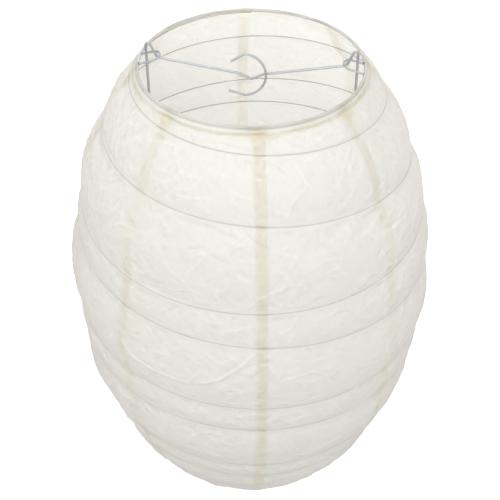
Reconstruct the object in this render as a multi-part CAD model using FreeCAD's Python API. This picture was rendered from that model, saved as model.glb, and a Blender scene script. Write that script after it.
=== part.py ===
import FreeCAD, Part
import math
import os
from FreeCAD import Vector

os.makedirs("parts", exist_ok=True)

# A paper lantern: a barrel of thin paper glued over one thin wire that winds down inside it as an
# uneven spiral, between two wire rings. A sprung wire stretcher stands inside and pushes the rings
# apart, hooked through two wire ears on each ring, and carries a C-shaped hook for a hanging lamp.
# Millimetres. +Z is up, X is roughly the stretcher's width, and the origin is the middle of the
# circle that the lantern stands on.

# ---- overall shape ----
waist_radius = 175.0            # inner face of the paper, half way up
ring_radius = 102.0             # centre line of both ring wires
ring_spacing = 473.0            # from the bottom ring's centre line to the top ring's

# ---- wires ----
ring_wire = 3.0                 # diameter of both ring wires
rib_wire = 0.9                  # diameter of the spiral wire
ear_wire = 2.0
stretcher_wire = 2.4
hook_wire = 2.2

# ---- paper ----
paper = 0.4                     # modelled thickness of one layer
gore_count = 8
lap_width = 11.0                # how far a gore is lapped over the next one, at the waist
first_lap_turn = 3.3            # degrees from straight ahead (-Y) to the front lap's middle
glue_gap = 0.05                 # between two layers that are glued
paper_clearance = 0.4           # between the hems, which stay with the rings, and the gores
gore_edge_gap = 0.65            # between the hem's turn round the ring and the gores' cut edge
hem_width = 5.6                 # how far down the gores the turned edge reaches
hem_open_angle = 115.0          # where the hem's turn ends, from straight outwards over the ring
hem_lead = 0.4                  # how far the hem's flap begins above the gores' cut edge
rest_land = 0.15                # how much the bottom hem is pressed flat where it stands

# ---- spiral wire ----
# Height of each turn at the front, as a share of the ring spacing, from the top down. The turns
# are spaced unevenly on purpose: that is the lantern's pattern, and it stretches with its height.
turn_shares = (0.962, 0.850, 0.683, 0.608, 0.444, 0.374, 0.227, 0.165, 0.075)
third_turn_lift = 0.051         # the third turn rides this much higher at the back
rib_gap = 0.25                  # between the spiral wire and the paper
rib_end_gap = 2.05              # between the hem's turn round the ring and the wire's end
rib_span = 138.0                # wire, at the waist, that each pair of tangent arcs covers

# ---- ears ----
ear_width = 18.0                # between the loop's two sides
ear_roundness = 0.97            # the loop's end bends, as a share of half its width
ear_reach = 19.5                # from the ring's centre line in to the loop's tip
top_ear_rise = 5.5              # the tip is pushed up by the stretcher
bottom_ear_rise = 14.0          # bent up so that the stretcher's feet stay off the table

# ---- stretcher ----
stretcher_turn = -5.0           # degrees from the X axis
leg_inset = 7.5                 # from the rings' centre line in to each leg
bend_radius = 2.0               # centre-line radius of the sharp bends
bight_height = 14.2             # from the wire beside the ear's tip to the end of the bight
ear_clearance = 0.4             # between the stretcher and an ear
bend_lean = 0.88                # how far outside the ear's tip the arm bends, in wire gaps
arm_drop = 12.4                 # how far each arm falls from the ear to the notch
notch_half_width = 12.0
notch_depth = 5.7
notch_bend = 3.0
toe_length = 11.0               # how far a foot's end reaches in past the ear's corner
toe_rise = 1.1

# ---- C-hook ----
hook_radius = 21.5
hook_centre_offset = 8.0        # centre of the hook's arc, to the left of the axis
hook_half_angle = 75.0          # the arc ends this far above and below straight right
hook_centre_drop = 9.7          # centre of the hook's arc below the top ring
hook_shoulder = 2.5             # straight run between the arc and the bend to each tail
hook_tail = 16.0
hook_upper_tail_angle = 33.0    # how steeply the upper tail falls
hook_lower_tail_angle = 15.5    # how steeply the lower tail rises
hook_bend = 3.0
weld_depth = 0.1                # how far the hook is melted into the arm

# ---- what follows from the sizes above ----
hem_inner = ring_wire / 2 + glue_gap
hem_outer = hem_inner + paper
gore_edge_drop = hem_outer + gore_edge_gap
rib_end_drop = hem_outer + rib_end_gap
leg_radius = ring_radius - leg_inset
rib_spans = math.ceil(2 * math.pi * waist_radius / rib_span)
bottom_z = hem_outer - rest_land
top_z = bottom_z + ring_spacing
middle_z = (bottom_z + top_z) / 2
half_height = ring_spacing / 2 / math.sqrt(1 - (ring_radius / waist_radius) ** 2)
gore_angle = 360.0 / gore_count
lap_angle = math.degrees(lap_width / waist_radius)

# A gore turns about its own axis, set towards its lapping edge, so that this edge lies over the
# next gore's first edge with a glue gap between them. Its first edge touches the lantern's shape.
gore_shift = (paper + 2 * glue_gap) / (1 - math.cos(math.radians(gore_angle)))
gore_inset = gore_shift * math.cos(math.radians(gore_angle + lap_angle / 2))
lap_lift = gore_shift - gore_inset


def shape_radius(z):
    """Radius of the lantern's shape at height z: an ellipse about the lantern's axis."""
    return waist_radius * math.sqrt(1 - ((z - middle_z) / half_height) ** 2)


def shape_slope(z):
    """How fast the shape's radius changes with height."""
    return -(waist_radius / half_height) ** 2 * (z - middle_z) / shape_radius(z)


def profile_arc(z_low, z_high, outward):
    """The shape's edge from z_low to z_high, in the XZ plane, moved out by a distance."""
    centre = Vector(outward, 0, middle_z)
    top = centre + Vector(0, 0, half_height)
    side = centre + Vector(waist_radius, 0, 0)
    ellipse = Part.Ellipse(top, side, centre)
    ends = [ellipse.parameter(Vector(outward + shape_radius(z), 0, z)) for z in (z_low, z_high)]
    return ellipse.toShape(min(ends), max(ends))


def gore(number):
    """One paper gore, from its first edge to the end of the lap over the next gore."""
    z_low = bottom_z + gore_edge_drop
    z_high = top_z - gore_edge_drop
    faces = [-gore_inset, paper - gore_inset]
    edges = [profile_arc(z_low, z_high, outward) for outward in faces]
    for z in (z_low, z_high):
        inner, outer = (Vector(shape_radius(z) + outward, 0, z) for outward in faces)
        edges.append(Part.makeLine(inner, outer))
    outline = Part.Wire(Part.__sortEdges__(edges))
    solid = Part.Face(outline).revolve(Vector(0, 0, 0), Vector(0, 0, 1), gore_angle + lap_angle)
    lap_direction = math.radians(gore_angle + lap_angle / 2)
    solid.translate(Vector(gore_shift * math.cos(lap_direction), gore_shift * math.sin(lap_direction), 0))
    first_edge = -90.0 + first_lap_turn - lap_angle / 2
    solid.rotate(Vector(0, 0, 0), Vector(0, 0, 1), first_edge + gore_angle * number)
    return solid


def bent_wire(points, radii, diameter):
    """A round wire along straight runs joined by tangent arcs, one radius for each inner point."""
    edges = []
    start = points[0]
    for before, corner, after, radius in zip(points, points[1:], points[2:], radii):
        to_before = (before - corner).normalize()
        to_after = (after - corner).normalize()
        half_turn = (math.pi - to_before.getAngle(to_after)) / 2
        trim = radius * math.tan(half_turn)
        first = corner + to_before * trim
        last = corner + to_after * trim
        inside = (to_before + to_after).normalize()
        middle = corner + inside * (radius / math.cos(half_turn) - radius)
        edges.append(Part.makeLine(start, first))
        edges.append(Part.Arc(first, middle, last).toShape())
        start = last
    edges.append(Part.makeLine(start, points[-1]))
    return sweep(edges, diameter)


def sweep(edges, diameter):
    """A solid wire of round section along joined edges."""
    path = Part.Wire(edges)
    first = edges[0]
    along = first.tangentAt(first.FirstParameter)
    section = Part.Wire(Part.makeCircle(diameter / 2, first.valueAt(first.FirstParameter), along))
    pipe = Part.BRepOffsetAPI.MakePipeShell(path)
    pipe.add(section)
    pipe.build()
    pipe.makeSolid()
    return pipe.shape()


def tangent_arcs(start, start_way, end, end_way):
    """Two arcs that leave start and reach end in the given directions and meet smoothly."""
    gap = end - start
    ways = start_way + end_way
    across = gap.dot(ways)
    spread = 2 * (1 - start_way.dot(end_way))
    reach = (math.sqrt(across * across + spread * gap.dot(gap)) - across) / spread
    start_control = start + start_way * reach
    end_control = end - end_way * reach
    joint = (start_control + end_control) * 0.5
    arcs = []
    for tail, control, head in ((start, start_control, joint), (joint, end_control, end)):
        chord_middle = (tail + head) * 0.5
        side = control - chord_middle
        half_chord = (head - tail).Length / 2
        rise = side.Length
        sagitta = half_chord * (math.hypot(half_chord, rise) - half_chord) / rise
        arcs.append(Part.Arc(tail, chord_middle + side.normalize() * sagitta, head).toShape())
    return arcs


def rib_heights():
    """Height of the spiral wire at every half turn, from its end at the top ring to the bottom."""
    front = [bottom_z + share * ring_spacing for share in turn_shares]
    heights = [top_z - rib_end_drop]
    for number, height in enumerate(front):
        heights.append(height)
        lower = front[number + 1] if number + 1 < len(front) else bottom_z + rib_end_drop
        lift = third_turn_lift * ring_spacing if number == 2 else 0.0
        heights.append((height + lower) / 2 + lift)
    heights[-1] = bottom_z + rib_end_drop
    return heights


def rib_point(turn):
    """A point of the spiral wire's centre line, turn in turns from the front of the first one."""
    heights = rib_heights()
    place = min(max(2 * turn + 1, 0.0), len(heights) - 1.0)
    index = min(int(place), len(heights) - 2)
    share = place - index
    before = heights[max(index - 1, 0)]
    low, high = heights[index], heights[index + 1]
    after = heights[min(index + 2, len(heights) - 1)]
    slope_low = (high - before) / 2
    slope_high = (after - low) / 2
    z = (low * (2 * share ** 3 - 3 * share ** 2 + 1) + high * (3 * share ** 2 - 2 * share ** 3)
         + slope_low * (share ** 3 - 2 * share ** 2 + share) + slope_high * (share ** 3 - share ** 2))
    # The gap is kept square to the paper, which slopes more and more towards the rings.
    radius = shape_radius(z) - (rib_wire / 2 + rib_gap) * math.hypot(1, shape_slope(z))
    angle = 2 * math.pi * turn - math.pi / 2
    return Vector(radius * math.cos(angle), radius * math.sin(angle), z)


def spiral_rib():
    """The spiral wire: pairs of tangent arcs through points on the shape."""
    step = 1.0 / rib_spans
    first_turn = -0.5
    count = int(round(len(turn_shares) * rib_spans))
    nudge = step / 100   # a short way along, to find the wire's direction
    edges = []
    for number in range(count):
        turn = first_turn + number * step
        ends = []
        for here in (turn, turn + step):
            ends.append(rib_point(here))
            ends.append((rib_point(here + nudge) - rib_point(here - nudge)).normalize())
        edges += tangent_arcs(*ends)
    return sweep(edges, rib_wire)


def on_stretcher(across, z, forward=0.0):
    """A point in the stretcher's plane: across from the axis, at height z, moved to the front."""
    turn = math.radians(stretcher_turn)
    x = across * math.cos(turn) + forward * math.sin(turn)
    y = across * math.sin(turn) - forward * math.cos(turn)
    return Vector(x, y, z)


def ear(side, ring_z, rise):
    """A wire loop on a ring's inner side, its ends shaped to the ring wire that they meet."""
    root = ring_radius
    half = ear_width / 2
    path = []
    for across, forward, z in ((root, half, ring_z), (tip_radius, half, ring_z + rise),
                               (tip_radius, -half, ring_z + rise), (root, -half, ring_z)):
        path.append(on_stretcher(side * across, z, forward))
    loop = bent_wire(path, [half * ear_roundness] * 2, ear_wire)
    ring_space = Part.makeTorus(ring_radius, ring_wire / 2, Vector(0, 0, ring_z), Vector(0, 0, 1))
    below = Vector(0, 0, ring_z - 4 * ring_wire)
    outside = Part.makeCylinder(2 * ring_radius, 8 * ring_wire, below)
    inside = Part.makeCylinder(ring_radius, 8 * ring_wire, below)
    return largest(loop.cut([ring_space, outside.cut(inside)]))


def largest(shape):
    """The main solid of a cut shape."""
    return max(shape.Solids, key=lambda solid: solid.Volume)


def hem(ring_z, inward):
    """Paper turned over a ring wire, with its edge glued down the outside of the gores.

    inward is -1 at the top ring, where the paper hangs down from the wire, and 1 at the bottom.
    """
    def place(out, along):
        return Vector(ring_radius + out, 0, ring_z + inward * along)

    def on_turn(radius, degrees):
        angle = math.radians(degrees)
        return place(radius * math.cos(angle), -radius * math.sin(angle))

    flap_start = gore_edge_drop - hem_lead
    over_gores = lap_lift + paper + paper_clearance - ring_radius
    start_out = shape_radius(ring_z + inward * flap_start) + over_gores
    end_out = shape_radius(ring_z + inward * hem_width) + over_gores
    # Degrees round the ring wire, from straight outwards, where the turn leaves for the flap.
    outer_leave = -10.0
    inner_leave = -35.0
    turn_top = 90.0
    outline = [
        Part.Arc(on_turn(hem_outer, hem_open_angle), on_turn(hem_outer, turn_top),
                 on_turn(hem_outer, outer_leave)).toShape(),
        Part.makeLine(on_turn(hem_outer, outer_leave), place(start_out + paper, flap_start - glue_gap)),
        Part.makeLine(place(start_out + paper, flap_start - glue_gap), place(end_out + paper, hem_width)),
        Part.makeLine(place(end_out + paper, hem_width), place(end_out, hem_width)),
        Part.makeLine(place(end_out, hem_width), place(start_out, flap_start)),
        Part.makeLine(place(start_out, flap_start), on_turn(hem_inner, inner_leave)),
        Part.Arc(on_turn(hem_inner, inner_leave), on_turn(hem_inner, turn_top),
                 on_turn(hem_inner, hem_open_angle)).toShape(),
        Part.makeLine(on_turn(hem_inner, hem_open_angle), on_turn(hem_outer, hem_open_angle)),
    ]
    face = Part.Face(Part.Wire(outline))
    return face.revolve(Vector(0, 0, 0), Vector(0, 0, 1), 360)


def bottom_hem():
    """The bottom hem, pressed flat where it meets the table."""
    turned = hem(bottom_z, 1)
    table = Part.makeCylinder(2 * ring_radius, hem_outer, Vector(0, 0, -hem_outer))
    return largest(turned.cut(table))


# Wire centre lines beside the ear tips, which both the ears and the stretcher follow.
tip_radius = ring_radius - ear_reach
wire_gap = (ear_wire + stretcher_wire) / 2 + ear_clearance
corner_radius = tip_radius + wire_gap * bend_lean
arm_end_z = top_z + top_ear_rise - wire_gap
toe_z = bottom_z + bottom_ear_rise + wire_gap
notch_edge_z = arm_end_z - arm_drop
# The diagonal of each bight leans so that its bend ends on the leg, bight_height from the corner.
bight_run = leg_radius - bend_radius - corner_radius
diagonal_angle = math.atan2(bight_height - bend_radius, bight_run) + math.asin(
    bend_radius / math.hypot(bight_run, bight_height - bend_radius))
bight_corner = (leg_radius - corner_radius) * math.tan(diagonal_angle)


def stretcher():
    """One wire: foot, leg, bight through the top ear, notched arm, and the same again."""
    right = [
        (leg_radius, arm_end_z + bight_corner, bend_radius),
        (leg_radius, toe_z - bight_corner, bend_radius),
        (corner_radius, toe_z, bend_radius),
    ]
    half = [(notch_half_width, notch_edge_z, notch_bend), (corner_radius, arm_end_z, bend_radius)] + right
    toe = (corner_radius - toe_length, toe_z + toe_rise)
    points = [on_stretcher(-toe[0], toe[1])]
    radii = []
    for across, z, radius in reversed(half):
        points.append(on_stretcher(-across, z))
        radii.append(radius)
    points.append(on_stretcher(0, notch_edge_z - notch_depth))
    radii.append(notch_bend)
    for across, z, radius in half:
        points.append(on_stretcher(across, z))
        radii.append(radius)
    points.append(on_stretcher(*toe))
    return bent_wire(points, radii, stretcher_wire)


def c_hook():
    """The C-shaped hook, beside the stretcher's arm and welded to it where they cross."""
    forward = (stretcher_wire + hook_wire) / 2 - weld_depth
    end = math.radians(hook_half_angle)
    centre_z = top_z - hook_centre_drop
    points = []
    for way, tail_angle in ((1, hook_upper_tail_angle), (-1, hook_lower_tail_angle)):
        bend_across = -hook_centre_offset + hook_radius * math.cos(end) - hook_shoulder * math.sin(end)
        bend_up = hook_radius * math.sin(end) + hook_shoulder * math.cos(end)
        tail = math.radians(tail_angle)
        tail_end = (bend_across - hook_tail * math.cos(tail), bend_up - hook_tail * math.sin(tail))
        points.append([on_stretcher(tail_end[0], centre_z + way * tail_end[1], forward),
                       on_stretcher(bend_across, centre_z + way * bend_up, forward)])
    # The arc's two ends are tangent to lines that meet at this point.
    meet = on_stretcher(-hook_centre_offset + hook_radius / math.cos(end), centre_z, forward)
    path = points[0] + [meet] + points[1][::-1]
    return bent_wire(path, [hook_bend, hook_radius, hook_bend], hook_wire)


nodes = {
    "top_ring": Part.makeTorus(ring_radius, ring_wire / 2, Vector(0, 0, top_z), Vector(0, 0, 1)),
    "bottom_ring": Part.makeTorus(ring_radius, ring_wire / 2, Vector(0, 0, bottom_z), Vector(0, 0, 1)),
    "top_ear_left": ear(-1, top_z, top_ear_rise),
    "top_ear_right": ear(1, top_z, top_ear_rise),
    "bottom_ear_left": ear(-1, bottom_z, bottom_ear_rise),
    "bottom_ear_right": ear(1, bottom_z, bottom_ear_rise),
    "spiral_rib": spiral_rib(),
    "top_hem": hem(top_z, -1),
    "bottom_hem": bottom_hem(),
    "stretcher_wire": stretcher(),
    "c_hook": c_hook(),
}
for number in range(gore_count):
    nodes[f"paper_gore_{number + 1}"] = gore(number)

for name, shape in nodes.items():
    if not shape.isValid() or len(shape.Solids) != 1:
        raise ValueError(f"{name} isn't one valid solid")
    shape.exportStep(f"parts/{name}.step")
    box = shape.BoundBox
    print(f"{name:18s} volume {shape.Volume:9.1f}  x {box.XMin:7.1f} {box.XMax:7.1f}"
          f"  y {box.YMin:7.1f} {box.YMax:7.1f}  z {box.ZMin:6.1f} {box.ZMax:6.1f}")
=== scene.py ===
import math

import bpy
import numpy as np
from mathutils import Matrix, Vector


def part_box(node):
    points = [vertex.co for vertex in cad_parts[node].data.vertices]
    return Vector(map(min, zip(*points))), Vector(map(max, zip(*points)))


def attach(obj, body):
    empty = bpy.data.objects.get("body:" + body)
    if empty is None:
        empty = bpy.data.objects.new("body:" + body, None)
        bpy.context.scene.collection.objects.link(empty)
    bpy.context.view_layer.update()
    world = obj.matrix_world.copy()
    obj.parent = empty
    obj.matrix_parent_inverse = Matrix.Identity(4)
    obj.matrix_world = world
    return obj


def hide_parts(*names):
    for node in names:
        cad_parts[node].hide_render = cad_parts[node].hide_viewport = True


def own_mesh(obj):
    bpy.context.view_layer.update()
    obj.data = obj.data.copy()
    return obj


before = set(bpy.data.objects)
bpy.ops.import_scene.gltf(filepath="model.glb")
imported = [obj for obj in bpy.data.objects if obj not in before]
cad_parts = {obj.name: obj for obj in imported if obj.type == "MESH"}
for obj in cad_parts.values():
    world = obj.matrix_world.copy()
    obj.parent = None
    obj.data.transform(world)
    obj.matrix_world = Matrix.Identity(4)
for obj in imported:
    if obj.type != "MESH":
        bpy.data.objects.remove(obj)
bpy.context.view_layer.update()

# A paper lantern. Eight gores of rice paper are pasted over a thin spiral wire and lapped over each
# other. Their ends are turned over two steel rings. A sprung wire holds the rings apart.
# Metres, in the CAD model's frame: +Z is up and -Y is the front.

MM = 0.001
rng = np.random.default_rng(11)     # draws every cloud and crease, always in the same order

# ---- what the CAD model gives ----


def coordinates(piece):
    """A mesh's vertices as an array."""
    found = np.empty(len(piece.data.vertices) * 3)
    piece.data.vertices.foreach_get("co", found)
    return found.reshape(-1, 3)


def ring_of(node):
    """Centre-line radius, height and wire radius of a ring."""
    low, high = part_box(node)
    wire = (high.z - low.z) / 2
    return high.x - wire, (low.z + high.z) / 2, wire


RING_RADIUS, TOP_Z, RING_WIRE = ring_of("top_ring")
BOTTOM_Z = ring_of("bottom_ring")[1]
GORES = sorted(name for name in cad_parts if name.startswith("paper_gore"))
GORE_LOW = min(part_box(name)[0].z for name in GORES)
GORE_HIGH = max(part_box(name)[1].z for name in GORES)

MIDDLE_Z = (TOP_Z + BOTTOM_Z) / 2
LAP_RISE = 0.9 * MM         # how far the CAD paper stands out over a lap
WAIST_RADIUS = max(np.hypot(*coordinates(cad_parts[name])[:, :2].T).max() for name in GORES) - LAP_RISE
HALF_HEIGHT = (TOP_Z - BOTTOM_Z) / 2 / math.sqrt(1 - (RING_RADIUS / WAIST_RADIUS) ** 2)
GORE_ANGLE = 2 * math.pi / len(GORES)

# ---- sizes of the paper work ----
LAP_WIDTH = 10.5 * MM       # the pasted strip between two gores, as wide at the rings as at the waist
FIRST_SEAM = math.radians(-90 + 3.3)
LAYER_GAP = 0.3 * MM        # between two lapped layers
LAP_RUN = 14 * MM           # how far a gore takes to rise over the next one
BULGE = 0.078               # how far the paper stands out between two turns, as a share of their gap
HEM_GAP = 0.08 * MM         # between the turned hem and the ring wire
FLAP_GAP = 0.75 * MM        # between the hem's flap and the shape of the gores
FLAP_HEIGHT = 5.4 * MM      # how far the hem's flap reaches down the gores
HEM_LEAVE = -12.0           # degrees round the ring, from straight outwards, where the flap leaves it
RIM_CALM = 9 * MM           # the paper lies smooth this near to a ring
SHEET_UNIT = 0.6            # metres of paper for one unit of the sheet's own UV map
GORE_UV_STEP = 0.31         # metres on the UV map between one gore and the next
WAY_REACH = 4 * MM          # how far from the wire the paper still knows its distance from it

# ---- how much paste shows, from 0 to 1 ----
STRIP_PASTE = 0.24          # along a lap
BLOT_PASTE = 0.40           # more, where a lap meets a ring
EDGE_PASTE = 0.08           # more, all along a gore's two ends
TURN_PASTE = 0.05           # on the hem's turn round the ring
FLAP_PASTE = 0.22           # on the hem's flap
# The mark a fold leaves is its painted highlight and shade.
PASTE_STIFFNESS = 1.8       # how strongly paste keeps folds from leaving a mark

CREASE_COUNT = 950          # creases all over the paper
SEAM_CREASE_COUNT = 200     # creases that start at the pasted strips

TABLE_COLUMNS = 1400        # one for each 0.8 mm round the waist
TABLE_ROWS = 580
table_angles = np.arange(TABLE_COLUMNS) * 2 * math.pi / TABLE_COLUMNS
table_heights = np.linspace(GORE_LOW, GORE_HIGH, TABLE_ROWS)
ROW_STEP = table_heights[1] - table_heights[0]


def shape_radius(z):
    """Radius of the lantern's smooth shape at height z."""
    return WAIST_RADIUS * np.sqrt(np.maximum(1 - ((z - MIDDLE_Z) / HALF_HEIGHT) ** 2, 0))


def shape_slope(z):
    """How fast the radius changes with height."""
    return -(WAIST_RADIUS / HALF_HEIGHT) ** 2 * (z - MIDDLE_Z) / shape_radius(z)


def smooth_step(low, high, value):
    """0 below low, 1 above high, and a soft step between them."""
    share = np.clip((value - low) / (high - low), 0, 1)
    return share * share * (3 - 2 * share)


# ---- the course of the spiral wire ----

WIRE_END = 90               # direction, in degrees, where the wire both starts and ends
FOLLOW_STEP = 2             # degrees between the places where the CAD wire is read
READ_REACH = 1.3 * FOLLOW_STEP      # degrees to either side from which its points are read
TURN_DROP = 5 * MM          # a drop of more than this leads to the next turn


def spiral_course():
    """The CAD wire's centre line as unwound angle, in degrees, and height, from its upper end."""
    x, y, z = coordinates(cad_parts["spiral_rib"]).T
    slack = 0.2     # the end faces lie just to either side of the wire's end
    direction = (np.degrees(np.arctan2(y, x)) - WIRE_END + slack) % 360 - slack
    course = []
    for offset in np.arange(FOLLOW_STEP, 360 - FOLLOW_STEP / 2, FOLLOW_STEP):
        near = np.abs(direction - offset) < READ_REACH
        order = np.argsort(-z[near])
        heights, ways = z[near][order], direction[near][order]
        breaks = np.where(np.diff(heights) < -TURN_DROP)[0] + 1
        for turn, (height, way) in enumerate(zip(np.split(heights, breaks), np.split(ways, breaks))):
            course.append((360 * turn + way.mean(), height.mean()))
    return np.array(sorted(course)).T


course_angles, course_heights = spiral_course()
TURNS = int(round(course_angles[-1] / 360))


def crossings(direction):
    """Heights at which the wire crosses a direction, from the lowest up."""
    unwound = (direction - WIRE_END) % 360 + 360 * np.arange(TURNS)
    return np.sort(np.interp(unwound, course_angles, course_heights))


def band_tables():
    """Over all directions and heights: how full the paper's bulge is, and the wire's distance."""
    bulge = np.zeros((TABLE_COLUMNS, TABLE_ROWS))
    distance = np.zeros_like(bulge)
    for column, angle in enumerate(table_angles):
        levels = np.array([GORE_LOW, *crossings(math.degrees(angle)), GORE_HIGH])
        band = np.clip(np.searchsorted(levels, table_heights) - 1, 0, len(levels) - 2)
        gap = levels[band + 1] - levels[band]
        share = (table_heights - levels[band]) / gap
        bulge[column] = 4 * share * (1 - share) * gap
        distance[column] = np.minimum(share, 1 - share) * gap
    spread = 4      # columns to either side over which the bulge is evened out
    bulge = sum(np.roll(bulge, shift, axis=0) for shift in range(-spread, spread + 1)) / (2 * spread + 1)
    return bulge, distance


# ---- wrinkles ----


def cloud(width, height, turn=0.0):
    """Smooth random relief of about unit size.

    Its lumps are width by height in table cells of about 0.8 mm, turned by turn radians.
    """
    roundness = 1.2
    waves = np.fft.fft2(rng.standard_normal((TABLE_COLUMNS, TABLE_ROWS)))
    across = np.fft.fftfreq(TABLE_COLUMNS)[:, None]
    up = np.fft.fftfreq(TABLE_ROWS)[None, :]
    along = across * math.cos(turn) + up * math.sin(turn)
    beside = up * math.cos(turn) - across * math.sin(turn)
    kept = np.exp(-((along * width) ** 2 + (beside * height) ** 2) * roundness)
    relief = np.fft.ifft2(waves * kept).real
    return relief / relief.std()


def press_crease(relief, points, width, height):
    """Adds one sharp crease along points of (degrees from the front, height up the lantern)."""
    angles = np.radians(np.array([point[0] for point in points]) - 90)
    ups = np.array([point[1] for point in points])
    radius = float(shape_radius(ups.mean()))
    stretch = math.hypot(1, float(shape_slope(ups.mean())))
    reach = 8 * width       # farther out the crease has faded away
    first = int((angles.min() - reach / radius) / (2 * math.pi) * TABLE_COLUMNS)
    last = int((angles.max() + reach / radius) / (2 * math.pi) * TABLE_COLUMNS) + 1
    columns = np.arange(first, last)
    rows = np.where((table_heights > ups.min() - reach) & (table_heights < ups.max() + reach))[0]
    if len(rows) == 0:
        return
    x = (columns * 2 * math.pi / TABLE_COLUMNS * radius)[:, None]
    y = (table_heights[rows] * stretch)[None, :]
    line = np.stack([angles * radius, ups * stretch], axis=1)
    lengths = np.hypot(*np.diff(line, axis=0).T)
    total = lengths.sum()
    nearest = np.full((len(columns), len(rows)), 1.0)      # metres, farther than any crease reaches
    travel = np.zeros_like(nearest)
    passed = 0.0
    for start, end, length in zip(line, line[1:], lengths):
        way = (end - start) / length
        along = np.clip((x - start[0]) * way[0] + (y - start[1]) * way[1], 0, length)
        away = np.hypot(x - start[0] - along * way[0], y - start[1] - along * way[1])
        closer = away < nearest
        nearest = np.where(closer, away, nearest)
        travel = np.where(closer, passed + along, travel)
        passed += length
    # The crease runs out to nothing at both ends.
    taper = np.sin(np.pi * np.clip(travel / total, 0, 1)) ** 0.6
    relief[np.ix_(columns % TABLE_COLUMNS, rows)] += height * taper * np.exp(-nearest / width)


def random_creases(relief, count, length, width, height, steepness):
    """Short creases at random places: length, width and height are ranges, steepness in degrees."""
    bow = 0.16              # how much a crease is bent, as a share of half its length
    outward_share = 0.62    # of the creases, how many stand out and do not sink in
    for _ in range(count):
        angle = rng.uniform(-180, 180)
        z = rng.uniform(GORE_LOW, GORE_HIGH)
        half = rng.uniform(*length) / 2
        lean = math.radians(rng.normal(0, steepness))
        bend = rng.normal(0, bow) * half
        radius = float(shape_radius(z))
        points = []
        for share in (-1, 0, 1):
            out = half * share * math.cos(lean) - bend * (share == 0) * math.sin(lean)
            up = half * share * math.sin(lean) + bend * (share == 0) * math.cos(lean)
            points.append((angle + math.degrees(out / radius), z + up))
        sign = 1 if rng.random() < outward_share else -1
        press_crease(relief, points, rng.uniform(*width), sign * rng.uniform(*height))


def seam_creases(relief, count):
    """Creases that spread from the pasted strips, where wet paste has pulled the paper."""
    steepness = 0.75        # their usual rise, as a share of their length
    for _ in range(count):
        seam = math.degrees(FIRST_SEAM + GORE_ANGLE * rng.integers(len(GORES))) + 90
        z = rng.uniform(GORE_LOW, GORE_HIGH)
        side = 1 if rng.random() < 0.5 else -1
        radius = float(shape_radius(z))
        start = LAP_WIDTH / 2
        length = rng.uniform(9, 34) * MM
        rise = length * rng.normal(0, steepness)
        points = [(seam + side * math.degrees((start + length * share) / radius), z + rise * share)
                  for share in (0, 0.5, 1)]
        press_crease(relief, points, rng.uniform(0.8, 1.5) * MM, rng.uniform(0.2, 0.6) * MM)


def folded(wrinkles):
    """Where wrinkles fold the paper sharply: 1 outwards, -1 inwards. The mark a fold leaves is the paper's
    painted highlight and shade.
    """
    reach = 2.4     # table cells within which a fold counts as sharp
    strength = 3.0  # a fold this many times the usual one leaves the fullest mark
    across = np.fft.fftfreq(TABLE_COLUMNS)[:, None]
    up = np.fft.fftfreq(TABLE_ROWS)[None, :]
    soft = np.exp(-2 * (math.pi * reach) ** 2 * (across ** 2 + up ** 2))
    sharp = wrinkles - np.fft.ifft2(np.fft.fft2(wrinkles) * soft).real
    sharp /= strength * sharp.std()
    gentle = 0.14   # folds gentler than this leave no mark
    return np.clip(np.sign(sharp) * np.maximum(np.abs(sharp) - gentle, 0), -1, 1)


def paper_relief():
    """How far the paper stands out from the smooth shape, and where it is folded sharply."""
    bulge, distance = band_tables()
    # The paper is more crumpled on the left than on the right.
    leftward = -np.cos(table_angles)[:, None]
    fold_map = 0.6 + 0.45 * smooth_step(-1.2, 1.2, cloud(90, 70)) + 0.15 * leftward
    # Handled paper: shallow facets between sharp lines, at three sizes.
    facets = np.abs(cloud(50, 28, 0.35)) * 0.6 + np.abs(cloud(24, 14, -0.5)) * 0.32
    facets += np.abs(cloud(11, 7.5, 0.8)) * 0.13
    relief = -facets * fold_map * MM
    relief += cloud(60, 34) * 0.28 * MM
    random_creases(relief, CREASE_COUNT, (8 * MM, 42 * MM), (0.7 * MM, 1.2 * MM),
                   (0.25 * MM, 1.0 * MM), 36)
    seam_creases(relief, SEAM_CREASE_COUNT)
    # The long fold across one front gore, from seam to seam, and the short ones near it.
    press_crease(relief, [(-43, 0.262), (-36, 0.249), (-27, 0.2455), (-17.5, 0.243)], 1.4 * MM, 3.2 * MM)
    press_crease(relief, [(-17.5, 0.243), (-9, 0.256), (-3.5, 0.270), (2.0, 0.288)], 1.4 * MM, 2.9 * MM)
    press_crease(relief, [(-9, 0.243), (-3.5, 0.243)], 1.2 * MM, 1.4 * MM)
    press_crease(relief, [(7, 0.2525), (19, 0.2575)], 1.4 * MM, 1.1 * MM)
    press_crease(relief, [(-10, 0.383), (-1, 0.400)], 1.5 * MM, 0.7 * MM)
    calm_edges = smooth_step(0, RIM_CALM, table_heights - GORE_LOW)
    calm_edges = calm_edges * smooth_step(0, RIM_CALM, GORE_HIGH - table_heights)
    # The paper is glued to the wire: there it lies on the shape, and it leaves the wire gently.
    stuck = smooth_step(0.5 * MM, 5.5 * MM, distance)
    leaving = smooth_step(-1.2 * MM, 2.4 * MM, distance)
    wrinkles = relief * stuck * calm_edges[None, :]
    return bulge * BULGE * leaving + wrinkles, folded(wrinkles)


def sampled(table, angle, z):
    """A table's values at given directions and heights."""
    column = (angle / (2 * math.pi) * TABLE_COLUMNS) % TABLE_COLUMNS
    row = np.clip((z - GORE_LOW) / ROW_STEP, 0, TABLE_ROWS - 1.001)
    left, below = column.astype(int), row.astype(int)
    right = (left + 1) % TABLE_COLUMNS
    across, up = column - left, row - below
    return ((table[left, below] * (1 - across) + table[right, below] * across) * (1 - up)
            + (table[left, below + 1] * (1 - across) + table[right, below + 1] * across) * up)


# ---- materials ----


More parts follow.
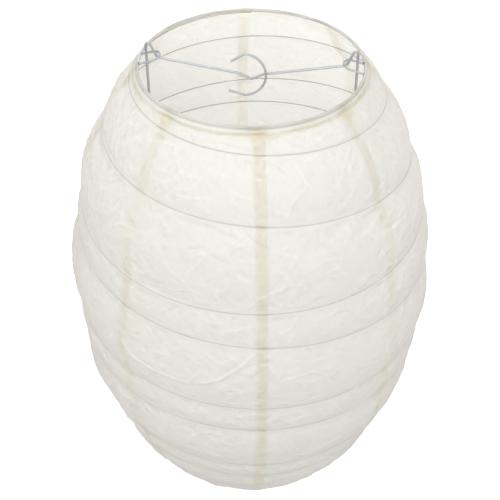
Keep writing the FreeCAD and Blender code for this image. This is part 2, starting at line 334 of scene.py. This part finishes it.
def linear(code):
    """An sRGB hex colour as linear RGBA."""
    parts = [int(code[i:i + 2], 16) / 255 for i in (1, 3, 5)]
    return [c / 12.92 if c <= 0.04045 else ((c + 0.055) / 1.055) ** 2.4 for c in parts] + [1.0]


def add_node(tree, kind, settings=None, links=None):
    """A node with its settings, by attribute name or socket, and its links, by socket."""
    node = tree.nodes.new(kind)
    for name, value in (settings or {}).items():
        if isinstance(name, str) and hasattr(node, name):
            setattr(node, name, value)
        else:
            node.inputs[name].default_value = value
    for socket, source in (links or {}).items():
        tree.links.new(source, node.inputs[socket])
    return node


def new_material(name):
    """An empty node material and its tree."""
    material = bpy.data.materials.new(name)
    material.use_nodes = True
    material.node_tree.nodes.clear()
    return material, material.node_tree


MIX_A, MIX_B, MIX_OUT = 6, 7, 2     # the colour sockets of a Mix node


def rice_paper():
    """Bleached rice paper, calendered thin: matt, soft, and it lets half of the light through.

    Long fibres cloud it slightly, and starch paste turns it yellowish where two layers are stuck.
    """
    material, tree = new_material("rice_paper")
    sheet = add_node(tree, "ShaderNodeUVMap", {"uv_map": "Sheet"}).outputs["UV"]
    pulp = add_node(tree, "ShaderNodeTexNoise", {"Scale": SHEET_UNIT / (22 * MM), "Detail": 5.0},
                    {"Vector": sheet})
    # Fibres are 0.05 mm thick and 7 mm long. They are drawn twelve times as thick so that they show.
    combed = add_node(tree, "ShaderNodeMapping",
                      {"Scale": (SHEET_UNIT / (7 * MM), SHEET_UNIT / (0.6 * MM), 1.0),
                       "Rotation": (0.0, 0.0, 0.5)}, {"Vector": sheet})
    fibres = add_node(tree, "ShaderNodeTexNoise", {"Scale": 1.0, "Detail": 3.0, "Distortion": 1.4},
                      {"Vector": combed.outputs["Vector"]})
    paste = add_node(tree, "ShaderNodeAttribute", {"attribute_name": "paste"}).outputs["Fac"]
    tint = add_node(tree, "ShaderNodeMix", {"data_type": "RGBA", MIX_A: linear("#FCFAF5"),
                                            MIX_B: linear("#FEFDF9")}, {0: pulp.outputs["Fac"]})
    fibre_tint = add_node(tree, "ShaderNodeMix", {"data_type": "RGBA", "blend_type": "MULTIPLY",
                                                  0: 0.05}, {MIX_A: tint.outputs[MIX_OUT],
                                                             MIX_B: fibres.outputs["Fac"]})
    stained = add_node(tree, "ShaderNodeMix", {"data_type": "RGBA", MIX_B: linear("#FAF6E6")},
                       {0: paste, MIX_A: fibre_tint.outputs[MIX_OUT]})
    # Painted highlight and shade on the folds: a fold's outer edge is painted lighter and its inner edge
    # darker, where light and shade fall on it.
    fold = add_node(tree, "ShaderNodeAttribute", {"attribute_name": "fold"}).outputs["Fac"]
    fold_highlight_and_shade = add_node(tree, "ShaderNodeMapRange", {"From Min": -1.0, "From Max": 1.0,
                                                   "To Min": 0.89, "To Max": 1.03}, {"Value": fold})
    fold_shaded = add_node(tree, "ShaderNodeMix", {"data_type": "RGBA", "blend_type": "MULTIPLY", 0: 1.0},
                      {MIX_A: stained.outputs[MIX_OUT], MIX_B: fold_highlight_and_shade.outputs["Result"]})
    # Painted shade: where the paper is stuck tight to a wire, a grey line is painted on it, standing in for
    # the steel's shadow seen through the paper.
    way = add_node(tree, "ShaderNodeAttribute", {"attribute_name": "wire_way"}).outputs["Fac"]
    beside = add_node(tree, "ShaderNodeMath", {"operation": "PINGPONG", 1: WAY_REACH}, {0: way})
    line = add_node(tree, "ShaderNodeMapRange",
                    {"interpolation_type": "SMOOTHSTEP", "From Min": 0.3 * MM, "From Max": 0.75 * MM,
                     "To Min": 1.0, "To Max": 0.0}, {"Value": beside.outputs[0]})
    stained_and_shaded = add_node(tree, "ShaderNodeMix",
                        {"data_type": "RGBA", "blend_type": "MULTIPLY", MIX_B: linear("#E9E9E8")},
                        {0: line.outputs["Result"], MIX_A: fold_shaded.outputs[MIX_OUT]}).outputs[MIX_OUT]
    relief = add_node(tree, "ShaderNodeBump", {"Strength": 0.35, "Distance": 0.05 * MM},
                      {"Height": fibres.outputs["Fac"]})
    # Shallow facets between sharp lines, about 26 mm and 11 mm across.
    for cell, depth in ((26 * MM, 2.0 * MM), (11 * MM, 0.7 * MM)):
        bent = add_node(tree, "ShaderNodeTexNoise", {"Scale": SHEET_UNIT / (1.6 * cell), "Detail": 2.0},
                        {"Vector": sheet})
        swayed = add_node(tree, "ShaderNodeMix", {"data_type": "RGBA", "blend_type": "LINEAR_LIGHT",
                                                  0: 0.6 * cell / SHEET_UNIT},
                          {MIX_A: sheet, MIX_B: bent.outputs["Color"]})
        cells = add_node(tree, "ShaderNodeTexVoronoi", {"feature": "DISTANCE_TO_EDGE",
                                                        "Scale": SHEET_UNIT / cell},
                         {"Vector": swayed.outputs[MIX_OUT]})
        relief = add_node(tree, "ShaderNodeBump", {"Strength": 1.0, "Distance": depth},
                          {"Height": cells.outputs["Distance"], "Normal": relief.outputs["Normal"]})
    face = add_node(tree, "ShaderNodeBsdfPrincipled",
                    {"Roughness": 0.82, "IOR": 1.47, "Specular IOR Level": 0.25},
                    {"Base Color": stained_and_shaded, "Normal": relief.outputs["Normal"]})
    through = add_node(tree, "ShaderNodeBsdfTranslucent", {},
                       {"Color": stained_and_shaded, "Normal": relief.outputs["Normal"]})
    # Dried paste fills the pores between the fibres, so more light passes where it has soaked in.
    share = add_node(tree, "ShaderNodeMapRange", {"From Max": 0.35, "To Min": 0.50, "To Max": 0.88},
                     {"Value": paste})
    mixed = add_node(tree, "ShaderNodeMixShader", {},
                     {0: share.outputs["Result"], 1: face.outputs[0], 2: through.outputs[0]})
    add_node(tree, "ShaderNodeOutputMaterial", {}, {"Surface": mixed.outputs[0]})
    return material


def drawn_wire(name, colour, dark, roughness, line_length):
    """Steel wire drawn through a die: bright, with faint lines along it and duller patches."""
    material, tree = new_material(name)
    place = add_node(tree, "ShaderNodeTexCoord").outputs["Object"]
    patches = add_node(tree, "ShaderNodeTexNoise", {"Scale": 1 / line_length, "Detail": 4.0},
                       {"Vector": place})
    fine = add_node(tree, "ShaderNodeTexNoise", {"Scale": 1 / (0.9 * MM), "Detail": 2.0},
                    {"Vector": place})
    tone = add_node(tree, "ShaderNodeMix", {"data_type": "RGBA", MIX_A: linear(dark),
                                            MIX_B: linear(colour)}, {0: patches.outputs["Fac"]})
    dull = add_node(tree, "ShaderNodeMapRange", {"To Min": roughness * 0.75, "To Max": roughness * 1.3},
                    {"Value": patches.outputs["Fac"]})
    relief = add_node(tree, "ShaderNodeBump", {"Strength": 0.12, "Distance": 0.01 * MM},
                      {"Height": fine.outputs["Fac"]})
    metal = add_node(tree, "ShaderNodeBsdfPrincipled", {"Metallic": 1.0},
                     {"Base Color": tone.outputs[MIX_OUT], "Roughness": dull.outputs["Result"],
                      "Normal": relief.outputs["Normal"]})
    add_node(tree, "ShaderNodeOutputMaterial", {}, {"Surface": metal.outputs[0]})
    return material


def studio_cove():
    """White painted boards, lit on their own so that they look evenly bright."""
    material, tree = new_material("white_painted_board")
    place = add_node(tree, "ShaderNodeTexCoord").outputs["Object"]
    grain = add_node(tree, "ShaderNodeTexNoise", {"Scale": 1 / (40 * MM), "Detail": 2.0}, {"Vector": place})
    tone = add_node(tree, "ShaderNodeMix", {"data_type": "RGBA", MIX_A: linear("#C4C4C4"),
                                            MIX_B: linear("#CACACA")}, {0: grain.outputs["Fac"]})
    face = add_node(tree, "ShaderNodeBsdfPrincipled", {"Roughness": 0.9, "Emission Strength": 0.78,
                                                       "Emission Color": linear("#FFFFFF")},
                    {"Base Color": tone.outputs[MIX_OUT]})
    add_node(tree, "ShaderNodeOutputMaterial", {}, {"Surface": face.outputs[0]})
    return material


PAPER = rice_paper()
RING_STEEL = drawn_wire("drawn_steel_ring_wire", "#DCDDDE", "#CDCECF", 0.52, 18 * MM)
RIB_STEEL = drawn_wire("annealed_steel_rib_wire", "#D0D0CC", "#BDBDB9", 0.55, 30 * MM)
SPRING_STEEL = drawn_wire("zinc_plated_spring_wire", "#C5C8CB", "#B0B3B6", 0.48, 9 * MM)
WELD_STEEL = drawn_wire("resistance_weld_bead", "#9B968F", "#6F6A64", 0.5, 1.2 * MM)

# ---- geometry node trees ----


def new_tree(name, inputs):
    """An empty geometry tree with named inputs: name to (kind, value)."""
    tree = bpy.data.node_groups.new(name, "GeometryNodeTree")
    tree.interface.new_socket("Geometry", in_out="INPUT", socket_type="NodeSocketGeometry")
    tree.interface.new_socket("Geometry", in_out="OUTPUT", socket_type="NodeSocketGeometry")
    for label, (kind, value) in inputs.items():
        socket = tree.interface.new_socket(label, in_out="INPUT", socket_type="NodeSocket" + kind)
        if value is not None:
            socket.default_value = value
    return tree, add_node(tree, "NodeGroupInput")


def math_node(tree, operation, first, second=None):
    """One sum on two values, each a number or a socket."""
    settings, links = {"operation": operation}, {}
    for index, value in enumerate((first, second)):
        if value is None:
            continue
        (settings if isinstance(value, (int, float)) else links)[index] = value
    return add_node(tree, "ShaderNodeMath", settings, links).outputs[0]


def finish_tree(tree, geometry, material_socket):
    """Ends a tree: real geometry, then its material."""
    real = add_node(tree, "GeometryNodeRealizeInstances", {}, {"Geometry": geometry})
    coated = add_node(tree, "GeometryNodeSetMaterial", {},
                      {"Geometry": real.outputs[0], "Material": material_socket})
    add_node(tree, "NodeGroupOutput", {}, {"Geometry": coated.outputs[0]})


def made_by(tree, name, values, source=None):
    """The plain mesh object that a tree makes from its inputs."""
    mesh = source or bpy.data.meshes.new(name + "_start")
    start = bpy.data.objects.new(name + "_start", mesh)
    bpy.context.scene.collection.objects.link(start)
    modifier = start.modifiers.new("Shape", "NODES")
    modifier.node_group = tree
    for item in tree.interface.items_tree:
        if item.item_type == "SOCKET" and item.in_out == "INPUT" and item.name in values:
            modifier[item.identifier] = values[item.name]
    start.update_tag()
    seen = start.evaluated_get(bpy.context.evaluated_depsgraph_get())
    result = bpy.data.meshes.new_from_object(seen)
    bpy.data.objects.remove(start)
    made = bpy.data.objects.new(name, result)
    made.data.name = name
    bpy.context.scene.collection.objects.link(made)
    return made


def gore_tree():
    """A strip of paper on the lantern's shape, from its first edge to the end of its lap."""
    tree, given = new_tree("paper_gore", {
        "Waist Radius": ("Float", WAIST_RADIUS), "Half Height": ("Float", HALF_HEIGHT),
        "Middle Height": ("Float", MIDDLE_Z), "Low Edge": ("Float", GORE_LOW),
        "High Edge": ("Float", GORE_HIGH), "Lap Width": ("Float", LAP_WIDTH),
        "Seam Angle": ("Float", 0.0), "Gore Angle": ("Float", GORE_ANGLE),
        "Columns": ("Int", 130), "Rows": ("Int", 440), "Paper": ("Material", None)})
    get = given.outputs
    grid = add_node(tree, "GeometryNodeMeshGrid", {"Size X": 1.0, "Size Y": 1.0},
                    {"Vertices X": get["Columns"], "Vertices Y": get["Rows"]})
    stored = add_node(tree, "GeometryNodeStoreNamedAttribute",
                      {"data_type": "FLOAT2", "domain": "CORNER", "Name": "Sheet"},
                      {"Geometry": grid.outputs["Mesh"], "Value": grid.outputs["UV Map"]})
    place = add_node(tree, "ShaderNodeSeparateXYZ", {},
                     {0: add_node(tree, "GeometryNodeInputPosition").outputs[0]}).outputs
    across = math_node(tree, "ADD", place["X"], 0.5)
    up = math_node(tree, "ADD", place["Y"], 0.5)
    rise = math_node(tree, "MULTIPLY", up, math_node(tree, "SUBTRACT", get["High Edge"], get["Low Edge"]))
    z = math_node(tree, "ADD", rise, get["Low Edge"])
    share = math_node(tree, "DIVIDE", math_node(tree, "SUBTRACT", z, get["Middle Height"]),
                      get["Half Height"])
    inside = math_node(tree, "SUBTRACT", 1.0, math_node(tree, "MULTIPLY", share, share))
    radius = math_node(tree, "MULTIPLY", math_node(tree, "SQRT", inside), get["Waist Radius"])
    lap = math_node(tree, "DIVIDE", get["Lap Width"], radius)
    begin = math_node(tree, "SUBTRACT", get["Seam Angle"], math_node(tree, "DIVIDE", lap, 2.0))
    spread = math_node(tree, "MULTIPLY", across, math_node(tree, "ADD", get["Gore Angle"], lap))
    angle = math_node(tree, "ADD", begin, spread)
    x = math_node(tree, "MULTIPLY", radius, math_node(tree, "COSINE", angle))
    y = math_node(tree, "MULTIPLY", radius, math_node(tree, "SINE", angle))
    point = add_node(tree, "ShaderNodeCombineXYZ", {}, {0: x, 1: y, 2: z})
    bent = add_node(tree, "GeometryNodeSetPosition", {},
                    {"Geometry": stored.outputs[0], "Position": point.outputs[0]})
    finish_tree(tree, bent.outputs[0], get["Paper"])
    return tree


def wire_tree():
    """Round wire along a line of points."""
    tree, given = new_tree("round_wire", {"Diameter": ("Float", 0.001), "Sides": ("Int", 8),
                                          "Wire": ("Material", None)})
    line = add_node(tree, "GeometryNodeMeshToCurve", {}, {"Mesh": given.outputs["Geometry"]})
    section = add_node(tree, "GeometryNodeCurvePrimitiveCircle", {},
                       {"Resolution": given.outputs["Sides"],
                        "Radius": math_node(tree, "DIVIDE", given.outputs["Diameter"], 2.0)})
    tube = add_node(tree, "GeometryNodeCurveToMesh", {"Fill Caps": True},
                    {"Curve": line.outputs[0], "Profile Curve": section.outputs[0]})
    finish_tree(tree, tube.outputs[0], given.outputs["Wire"])
    return tree


def bead_tree():
    """A lumpy weld bead at every point, each of its own size."""
    tree, given = new_tree("weld_beads", {"Bead Radius": ("Float", 0.001), "Seed": ("Int", 4),
                                          "Metal": ("Material", None)})
    ball = add_node(tree, "GeometryNodeMeshIcoSphere", {"Subdivisions": 3},
                    {"Radius": given.outputs["Bead Radius"]})
    size = add_node(tree, "FunctionNodeRandomValue", {"data_type": "FLOAT", 2: 0.8, 3: 1.15},
                    {"Seed": given.outputs["Seed"]})
    placed = add_node(tree, "GeometryNodeInstanceOnPoints", {},
                      {"Points": given.outputs["Geometry"], "Instance": ball.outputs["Mesh"],
                       "Scale": size.outputs[1]})
    finish_tree(tree, placed.outputs[0], given.outputs["Metal"])
    return tree


def points_mesh(name, points, joined=False):
    """A mesh of loose points, or of one line through them."""
    mesh = bpy.data.meshes.new(name)
    edges = [(i, i + 1) for i in range(len(points) - 1)] if joined else []
    mesh.from_pydata([tuple(p) for p in points], edges, [])
    return mesh


# ---- the gores ----

relief_table, fold_table = paper_relief()


def paste_amount(angle, z):
    """How much paste shows at a point: full on a lap, blotted where a lap meets a ring."""
    radius = shape_radius(z)
    turn = (angle - FIRST_SEAM + GORE_ANGLE / 2) % GORE_ANGLE - GORE_ANGLE / 2
    side = np.abs(turn) * radius
    blur = 0.8 * MM
    strip = STRIP_PASTE * (1 - smooth_step(LAP_WIDTH / 2 - blur, LAP_WIDTH / 2 + blur, side))
    # The strips beside the front one were pasted less evenly.
    seam = np.round((angle - FIRST_SEAM) / GORE_ANGLE)
    uneven = 0.62 + 0.38 * np.sin(z / (23 * MM) + 2.4 * seam) * np.sin(z / (61 * MM) + 1.1 * seam)
    strip = strip * np.where(seam % len(GORES) == 0, 1.0, uneven)
    rim = np.minimum(z - GORE_LOW, GORE_HIGH - z)
    blot = BLOT_PASTE * np.exp(-(side / (9 * MM)) ** 2 - (rim / (9 * MM)) ** 2)
    edge = EDGE_PASTE * np.exp(-(rim / (5 * MM)) ** 2)
    return np.clip(strip + blot + edge, 0, 1)


def wire_way(angle, z, seam):
    """Distance from the wire along the paper, from turn to turn: a multiple of 2 WAY_REACH is on a turn."""
    middle = (math.degrees(seam + GORE_ANGLE / 2) - WIRE_END) % 360
    turned = (np.degrees(angle) - WIRE_END - middle + 180) % 360 - 180 + middle
    stretch = np.hypot(1, shape_slope(z))
    way, nearest = np.zeros_like(z), np.full_like(z, np.inf)
    for turn in range(-1, TURNS + 1):
        below = (np.interp(turned + 360 * turn, course_angles, course_heights) - z) * stretch
        closer = np.abs(below) < nearest
        way = np.where(closer, 2 * WAY_REACH * (turn + 1) + np.clip(below, -WAY_REACH, WAY_REACH), way)
        nearest = np.where(closer, np.abs(below), nearest)
    return way


def store_points(mesh, name, values):
    """Keeps one number for each vertex, for the paper's material."""
    attribute = mesh.attributes.new(name, "FLOAT", "POINT")
    attribute.data.foreach_set("value", np.asarray(values, np.float32))


def sheet_uv(mesh, across, up):
    """Lays the sheet's own UV map: the place on the flat paper, in sheet units."""
    corners = np.empty(len(mesh.loops), np.int32)
    mesh.loops.foreach_get("vertex_index", corners)
    layer = mesh.uv_layers.get("Sheet") or mesh.uv_layers.new(name="Sheet")
    flat = np.stack([across[corners], up[corners]], axis=1) / SHEET_UNIT
    layer.data.foreach_set("uv", flat.astype(np.float32).ravel())


def make_gore(tree, number, name):
    """One gore with its bulges and wrinkles, pasted over the next gore's first edge."""
    seam = FIRST_SEAM + GORE_ANGLE * number
    piece = made_by(tree, name, {"Seam Angle": seam, "Paper": PAPER})
    points = coordinates(piece)
    x, y, z = points.T
    angle = np.arctan2(y, x)
    radius = np.hypot(x, y)
    # A gore begins half a lap before its seam, so its turn starts a little below zero.
    turn = (angle - seam + math.pi / 4) % (2 * math.pi) - math.pi / 4
    to_lap = (GORE_ANGLE - turn) * radius - LAP_WIDTH / 2
    lift = LAYER_GAP * (1 - smooth_step(0, LAP_RUN, to_lap))
    out = sampled(relief_table, angle, z) + lift
    slope = shape_slope(z)
    flat = np.hypot(1, slope)
    new_radius = radius + out / flat
    new_z = z - out * slope / flat
    edge_hold = smooth_step(0, RIM_CALM, np.minimum(z - GORE_LOW, GORE_HIGH - z))
    new_z = z + (new_z - z) * edge_hold
    moved = np.stack([new_radius * np.cos(angle), new_radius * np.sin(angle), new_z], axis=1)
    piece.data.vertices.foreach_set("co", moved.ravel())
    sheet_uv(piece.data, turn * WAIST_RADIUS + GORE_UV_STEP * number, z)
    paste = paste_amount(angle, z)
    store_points(piece.data, "paste", paste)
    store_points(piece.data, "wire_way", wire_way(angle, z, seam))
    # Pasted paper is stiff, and folds leave less of a mark on it: paste lifts the fold value towards 1, the
    # lightest tone of the painted fold highlight and shade.
    fold = sampled(fold_table, angle, z) + PASTE_STIFFNESS * paste
    store_points(piece.data, "fold", np.clip(fold, -1, 1))
    piece.data.shade_smooth()
    piece.data.update()
    return piece


gores = []
shared_gore_tree = gore_tree()
for number, name in enumerate(GORES):
    gore = make_gore(shared_gore_tree, number, name.replace("paper_gore", "rice_paper_gore"))
    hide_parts(name)
    gores.append(gore)

# ---- the spiral wire ----


def spiral_line():
    """Points of the spiral wire's centre line, from its upper end down."""
    line = []
    for unwound in np.arange(0, 360 * TURNS + 1, FOLLOW_STEP):
        height = float(np.interp(unwound, course_angles, course_heights))
        radius = float(shape_radius(height)) - WIRE_INSET * math.hypot(1, float(shape_slope(height)))
        angle = math.radians(unwound + WIRE_END)
        line.append((radius * math.cos(angle), radius * math.sin(angle), height))
    return line


RIB_DIAMETER = 0.9 * MM
WIRE_INSET = RIB_DIAMETER / 2 + 0.03 * MM
shared_wire_tree = wire_tree()
rib = made_by(shared_wire_tree, "spiral_wire", {"Diameter": RIB_DIAMETER, "Wire": RIB_STEEL},
              points_mesh("spiral_line", spiral_line(), joined=True))
rib.data.shade_smooth()
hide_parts("spiral_rib")

# ---- the hems ----

HEM_COLUMNS = 900
HEM_ROW = 0.5 * MM          # paper between two rows of a hem, on its UV map


def ring_sheet(name, profile):
    """A strip of paper round a ring. profile gives radius and height rows for all directions."""
    columns = HEM_COLUMNS
    angles = np.arange(columns) * 2 * math.pi / columns
    radius, z = profile(angles)
    rows = radius.shape[0]
    points = np.stack([radius * np.cos(angles), radius * np.sin(angles), z], axis=2).reshape(-1, 3)
    faces = []
    for row in range(rows - 1):
        for column in range(columns):
            after = (column + 1) % columns
            faces.append((row * columns + column, row * columns + after,
                          (row + 1) * columns + after, (row + 1) * columns + column))
    mesh = bpy.data.meshes.new(name)
    mesh.from_pydata(points.tolist(), [], faces)
    mesh.materials.append(PAPER)
    piece = bpy.data.objects.new(name, mesh)
    bpy.context.scene.collection.objects.link(piece)
    around = np.tile(angles * RING_RADIUS, rows)
    up = np.repeat(np.arange(rows) * HEM_ROW, columns)
    sheet_uv(mesh, around, up)
    mesh.shade_smooth()
    return piece, np.tile(angles, rows)


def wavy(angles, size, seed):
    """A periodic random wave of about unit height, with lumps of this many degrees."""
    source = np.random.default_rng(seed)
    wave = np.zeros_like(angles)
    for harmonic in range(1, int(360 / size)):
        fade = math.exp(-(harmonic * size / 220) ** 2)
        wave += fade * source.normal() * np.cos(harmonic * angles + source.uniform(0, 2 * math.pi))
    return wave / wave.std()


EARS = [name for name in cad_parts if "_ear_" in name]
ear_places = [math.atan2(*reversed(((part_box(name)[0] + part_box(name)[1]) / 2)[:2])) for name in EARS]


def near_ear(angles):
    """1 beside an ear, 0 away from it."""
    near = np.zeros_like(angles)
    for place in ear_places:
        turn = np.abs((angles - place + math.pi) % (2 * math.pi) - math.pi)
        near = np.maximum(near, 1 - smooth_step(math.radians(8), math.radians(14), turn))
    return near


def hem_turn(ring_z, inward, seed):
    """Profile of the paper turned over a ring wire. inward is 1 where the gores lie above."""
    def profile(angles):
        # The paper is turned farther round the ring at the back than at the front.
        behind = 0.5 + 0.5 * np.sin(angles)
        open_angle = 106 + 80 * behind + 12 * wavy(angles, 9, seed) + 7 * wavy(angles, 3, seed + 1)
        open_angle = np.clip(open_angle, 70, 200)
        open_angle = open_angle + (np.minimum(open_angle, 100) - open_angle) * near_ear(angles)
        pucker = 0.10 * MM * (wavy(angles, 2, seed + 2) + 1.2)
        shares = np.linspace(0, 1, 15)[:, None]
        way_round = np.radians(open_angle * (1 - shares) + HEM_LEAVE * shares)
        ease = np.sin(np.pi * shares) ** 0.5
        radius = RING_WIRE + HEM_GAP + np.maximum(pucker, 0) * ease
        return RING_RADIUS + radius * np.cos(way_round), ring_z - inward * radius * np.sin(way_round)
    return profile


def hem_flap(ring_z, inward, seed):
    """Profile of the hem's flap, pasted down the outside of the gores, with a torn lower edge."""
    def profile(angles):
        edge = FLAP_HEIGHT + 0.55 * MM * wavy(angles, 5, seed) + 0.25 * MM * wavy(angles, 1.5, seed + 1)
        pucker = 0.11 * MM * wavy(angles, 2.2, seed + 2)
        leave = math.radians(HEM_LEAVE)
        wire = RING_WIRE + HEM_GAP
        start_radius = RING_RADIUS + wire * math.cos(leave)
        start_z = ring_z - inward * wire * math.sin(leave)
        shares = np.linspace(0, 1, 9)[:, None]
        z = start_z + inward * shares * edge[None, :]
        over = shape_radius(z) + FLAP_GAP + pucker[None, :] * np.sin(np.pi * np.minimum(shares, 0.8))
        settle = smooth_step(0, 0.35, shares)
        return start_radius * (1 - settle) + over * settle, z
    return profile


for label, ring_z, inward, body in (("top", TOP_Z, -1, "top"), ("bottom", BOTTOM_Z, 1, "base")):
    turn, turn_angles = ring_sheet(f"{label}_hem_turn", hem_turn(ring_z, inward, 21 + inward))
    flap, flap_angles = ring_sheet(f"{label}_hem_flap", hem_flap(ring_z, inward, 41 + inward))
    for piece, angles, strength in ((turn, turn_angles, TURN_PASTE), (flap, flap_angles, FLAP_PASTE)):
        seam_turn = (angles - FIRST_SEAM + GORE_ANGLE / 2) % GORE_ANGLE - GORE_ANGLE / 2
        blot = np.exp(-(seam_turn * RING_RADIUS / (8 * MM)) ** 2)
        patches = 0.12 * np.clip(wavy(angles, 14, 77), -1, 2)
        if piece is flap:
            downward = np.repeat(np.linspace(0, 1, len(angles) // HEM_COLUMNS), HEM_COLUMNS)
            strength = strength * 2 * smooth_step(0.4, 0.85, downward)
        store_points(piece.data, "paste", np.clip(strength + patches + 0.35 * blot, 0, 1))
        # Painted shade: a faint grey tint on the turn stands in for the ring's steel seen through it, and
        # the flap gets none.
        way = 0.68 * MM if piece is turn else WAY_REACH
        store_points(piece.data, "wire_way", np.full(len(angles), way))
        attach(piece, body)
    # The hem's faces are laid from the inside of the turn outwards, the other way up at the bottom.
    if inward == -1:
        for piece in (turn, flap):
            piece.data.flip_normals()
    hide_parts(f"{label}_hem")
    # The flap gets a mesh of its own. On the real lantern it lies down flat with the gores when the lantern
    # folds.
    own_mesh(flap)

# ---- weld beads ----


def ear_ends(name):
    """The two places where an ear's ends meet its ring."""
    points = coordinates(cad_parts[name])
    outer = points[np.hypot(points[:, 0], points[:, 1]) > RING_RADIUS - RING_WIRE - 0.5 * MM]
    middle = outer.mean(axis=0)
    side = np.array([-middle[1], middle[0]]) @ outer[:, :2].T
    centre = (side.max() + side.min()) / 2
    return [outer[side > centre].mean(axis=0), outer[side <= centre].mean(axis=0)]


shared_bead_tree = bead_tree()
for body, edge in (("top", "top_ear"), ("base", "bottom_ear")):
    places = [end for name in EARS if name.startswith(edge) for end in ear_ends(name)]
    beads = made_by(shared_bead_tree, f"{edge}_welds", {"Bead Radius": 1.35 * MM, "Metal": WELD_STEEL},
                    points_mesh(f"{edge}_points", places))
    beads.data.shade_smooth()
    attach(beads, body)

# ---- the carried-over wires ----
for name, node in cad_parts.items():
    steel = RING_STEEL if name.endswith("_ring") else SPRING_STEEL
    if not node.material_slots:
        node.data.materials.append(steel)
    for holder in node.material_slots:
        holder.material = steel

# ---- how the soft pieces move ----
for piece in [*gores, rib]:
    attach(piece, "base")
    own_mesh(piece)

# ---- stage, light and camera ----
COVE = 40                   # metres: half the studio's width, and its walls' height
plan = ((-COVE, -COVE), (COVE, -COVE), (COVE, COVE), (-COVE, COVE))
cove_corners = [(x, y, z) for z in (0, COVE) for x, y in plan]
cove_walls = [(i, i + 4, (i + 1) % 4 + 4, (i + 1) % 4) for i in range(4)]
floor_mesh = bpy.data.meshes.new("floor")
floor_mesh.from_pydata(cove_corners, [], [(0, 1, 2, 3), *cove_walls])
floor_mesh.materials.append(studio_cove())
floor = bpy.data.objects.new("floor", floor_mesh)
bpy.context.scene.collection.objects.link(floor)
# The boards are lit on their own, so they throw no light back on the paper and the wires.
floor.visible_diffuse = False
floor.visible_glossy = False
floor.visible_transmission = False
floor.visible_shadow = False

# The studio's own light: stronger from above than from below.
world = bpy.data.worlds.new("studio")
world.use_nodes = True
walls = world.node_tree
upward = add_node(walls, "ShaderNodeSeparateXYZ", {},
                  {0: add_node(walls, "ShaderNodeTexCoord").outputs["Generated"]})
glow = add_node(walls, "ShaderNodeMapRange", {"From Min": -0.5, "From Max": 0.5,
                                              "To Min": 0.40, "To Max": 0.60},
                {"Value": upward.outputs["Z"]})
walls.nodes["Background"].inputs["Color"].default_value = linear("#FFFFFF")
walls.links.new(glow.outputs["Result"], walls.nodes["Background"].inputs["Strength"])
bpy.context.scene.world = world


def soft_box(name, place, size, power):
    """A square studio light of size metres and power watts, aimed at the lantern's waist."""
    lamp = bpy.data.lights.new(name, "AREA")
    lamp.size = size
    lamp.energy = power
    lamp.color = (1.0, 0.995, 0.985)
    holder = bpy.data.objects.new(name, lamp)
    holder.location = place
    holder.rotation_euler = (Vector((0, 0, MIDDLE_Z)) - Vector(place)).to_track_quat("-Z", "Y").to_euler()
    bpy.context.scene.collection.objects.link(holder)


soft_box("front", (0.0, -1.9, 1.1), 1.2, 19)
soft_box("left", (-1.4, -0.6, 1.5), 0.5, 8)
soft_box("right", (1.6, -0.4, 1.0), 1.0, 6)
soft_box("overhead", (0.1, 0.5, 2.3), 1.2, 9)
soft_box("back", (0.2, 1.9, 0.5), 1.4, 20)

CAMERA_TILT = 50            # degrees up from looking straight down

lens = bpy.data.cameras.new("camera")
lens.lens = 79.2
lens.sensor_width = 36
camera = bpy.data.objects.new("camera", lens)
camera.location = (-0.0011, -0.8608, 0.980)
camera.rotation_euler = (math.radians(CAMERA_TILT), 0, 0)
bpy.context.scene.collection.objects.link(camera)
bpy.context.scene.camera = camera
bpy.context.scene.view_settings.view_transform = "Standard"
